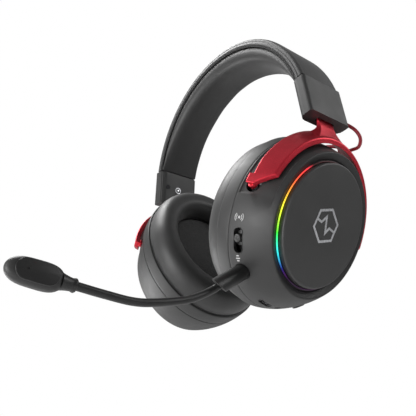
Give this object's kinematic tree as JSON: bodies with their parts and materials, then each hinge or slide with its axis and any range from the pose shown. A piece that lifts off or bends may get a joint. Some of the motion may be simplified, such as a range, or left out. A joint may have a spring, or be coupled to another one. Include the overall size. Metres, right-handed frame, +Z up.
{
  "type": "gaming headset",
  "caption": "Over-ear wireless gaming headset: padded headband, red metal yokes on sliding tongues, oval ear cups with a light ring and a detachable boom microphone.",
  "frame": {"origin": "where the crown of the wearer's head meets the middle of the headband pad's underside", "axes": "+Z up, the wearer faces -Y, the wearer's left ear is on the +X side"},
  "size_m": [0.1698, 0.2087, 0.2064],
  "materials": {
    "band_leather": "fine grained black leatherette",
    "cushion_leather": "soft smooth protein leatherette",
    "matte_plastic": "fine spark-eroded soft-touch black",
    "dark_plastic": "near-black moulded plastic",
    "yoke_red": "satin anodised red",
    "lead_red": "satin red jacket",
    "steel": "plain steel",
    "silver": "satin silver",
    "light": "lit diffuser in rainbow colours",
    "acoustic_cloth": "fine black acoustic cloth",
    "driver_body": "speaker unit",
    "board_green": "circuit board",
    "battery_wrap": "foil pouch",
    "boom_rubber": "satin rubber over a gooseneck"
  },
  "bodies": {
    "root": {"headband_cover": "band_leather", "headband_pad": "band_leather", "spring_steel_band": "steel", "headband_wire": "dark_plastic", "left_cap_outer": "matte_plastic", "left_cap_inner": "matte_plastic", "left_cap_screw": "steel", "left_detent_spring": "steel", "left_lead_upper": "lead_red", "right_cap_outer": "matte_plastic", "right_cap_inner": "matte_plastic", "right_cap_screw": "steel", "right_detent_spring": "steel", "right_lead_upper": "lead_red"},
    "left_yoke": {"left_yoke": "yoke_red", "left_pivot_pin_front": "steel", "left_pivot_pin_rear": "steel"},
    "right_yoke": {"right_yoke": "yoke_red", "right_pivot_pin_front": "steel", "right_pivot_pin_rear": "steel"},
    "left_cup": {"left_outer_shell": "matte_plastic", "left_inner_housing": "matte_plastic", "left_baffle": "dark_plastic", "left_driver": "driver_body", "left_speaker_cloth": "acoustic_cloth", "left_ear_cushion": "cushion_leather", "left_outer_plate": "matte_plastic", "left_light_ring": "light", "left_emblem": "silver", "left_pivot_bush_front": "dark_plastic", "left_pivot_bush_rear": "dark_plastic", "left_lead_lower": "lead_red", "main_board": "board_green", "usb_port": "steel", "aux_jack": "dark_plastic", "mic_socket": "dark_plastic"},
    "right_cup": {"right_outer_shell": "matte_plastic", "right_inner_housing": "matte_plastic", "right_baffle": "dark_plastic", "right_driver": "driver_body", "right_speaker_cloth": "acoustic_cloth", "right_ear_cushion": "cushion_leather", "right_outer_plate": "matte_plastic", "right_light_ring": "light", "right_emblem": "silver", "right_pivot_bush_front": "dark_plastic", "right_pivot_bush_rear": "dark_plastic", "right_lead_lower": "lead_red", "battery": "battery_wrap"},
    "mic_base": {"mic_plug": "steel", "mic_housing": "dark_plastic"},
    "mic_arm": {"mic_boom": "boom_rubber", "mic_collar": "dark_plastic", "mic_capsule": "matte_plastic", "mic_cover_plate": "dark_plastic", "mic_grille": "acoustic_cloth"},
    "mode_switch": {"mode_switch": "dark_plastic"},
    "power_button": {"power_button": "dark_plastic"},
    "mute_button": {"mute_button": "dark_plastic"},
    "volume_wheel": {"volume_wheel": "dark_plastic"}
  },
  "joints": [
    {"name": "left_size_slide", "type": "slide", "parent": "root", "child": "left_yoke", "axis": [0.108, 0, -0.9942], "range_m": [0, 0.021], "deforming": ["left_lead_upper"]},
    {"name": "right_size_slide", "type": "slide", "parent": "root", "child": "right_yoke", "axis": [-0.108, 0, -0.9942], "range_m": [0, 0.021], "deforming": ["right_lead_upper"]},
    {"name": "left_tilt", "type": "hinge", "parent": "left_yoke", "child": "left_cup", "pos_m": [0.05326, -0.003, -0.13287], "axis": [0.1176, -0.9494, 0.2911], "range_deg": [-6, 20], "deforming": ["left_lead_lower"]},
    {"name": "right_tilt", "type": "hinge", "parent": "right_yoke", "child": "right_cup", "pos_m": [-0.05326, -0.003, -0.13287], "axis": [0.1176, 0.9494, -0.2911], "range_deg": [-6, 20], "deforming": ["right_lead_lower"]},
    {"name": "mic_unplug", "type": "slide", "parent": "left_cup", "child": "mic_base", "axis": [0.0505, -0.7853, -0.6171], "range_m": [0, 0.01]},
    {"name": "mic_bend", "type": "hinge", "parent": "mic_base", "child": "mic_arm", "pos_m": [0.0398, -0.0602, -0.1771], "axis": [-1, 0, 0], "range_deg": [-20, 35], "deforming": ["mic_boom"]},
    {"name": "mode_slide", "type": "slide", "parent": "left_cup", "child": "mode_switch", "axis": [-0.364, 0.2362, -0.901], "range_m": [-0.003, 0.0055]},
    {"name": "power_press", "type": "slide", "parent": "left_cup", "child": "power_button", "axis": [0.0107, -0.5935, 0.8048], "range_m": [0, 0.0006], "stiffness_N_per_m": 900, "springref_m": -0.0006},
    {"name": "mute_press", "type": "slide", "parent": "left_cup", "child": "mute_button", "axis": [0.0575, -0.3653, 0.9291], "range_m": [0, 0.0006], "stiffness_N_per_m": 900, "springref_m": -0.0006},
    {"name": "volume_turn", "type": "hinge", "parent": "left_cup", "child": "volume_wheel", "pos_m": [0.04213, 0.0254, -0.15548], "axis": [0.9489, -0.2384, -0.2068], "range_deg": [-135, 135]}
  ]
}
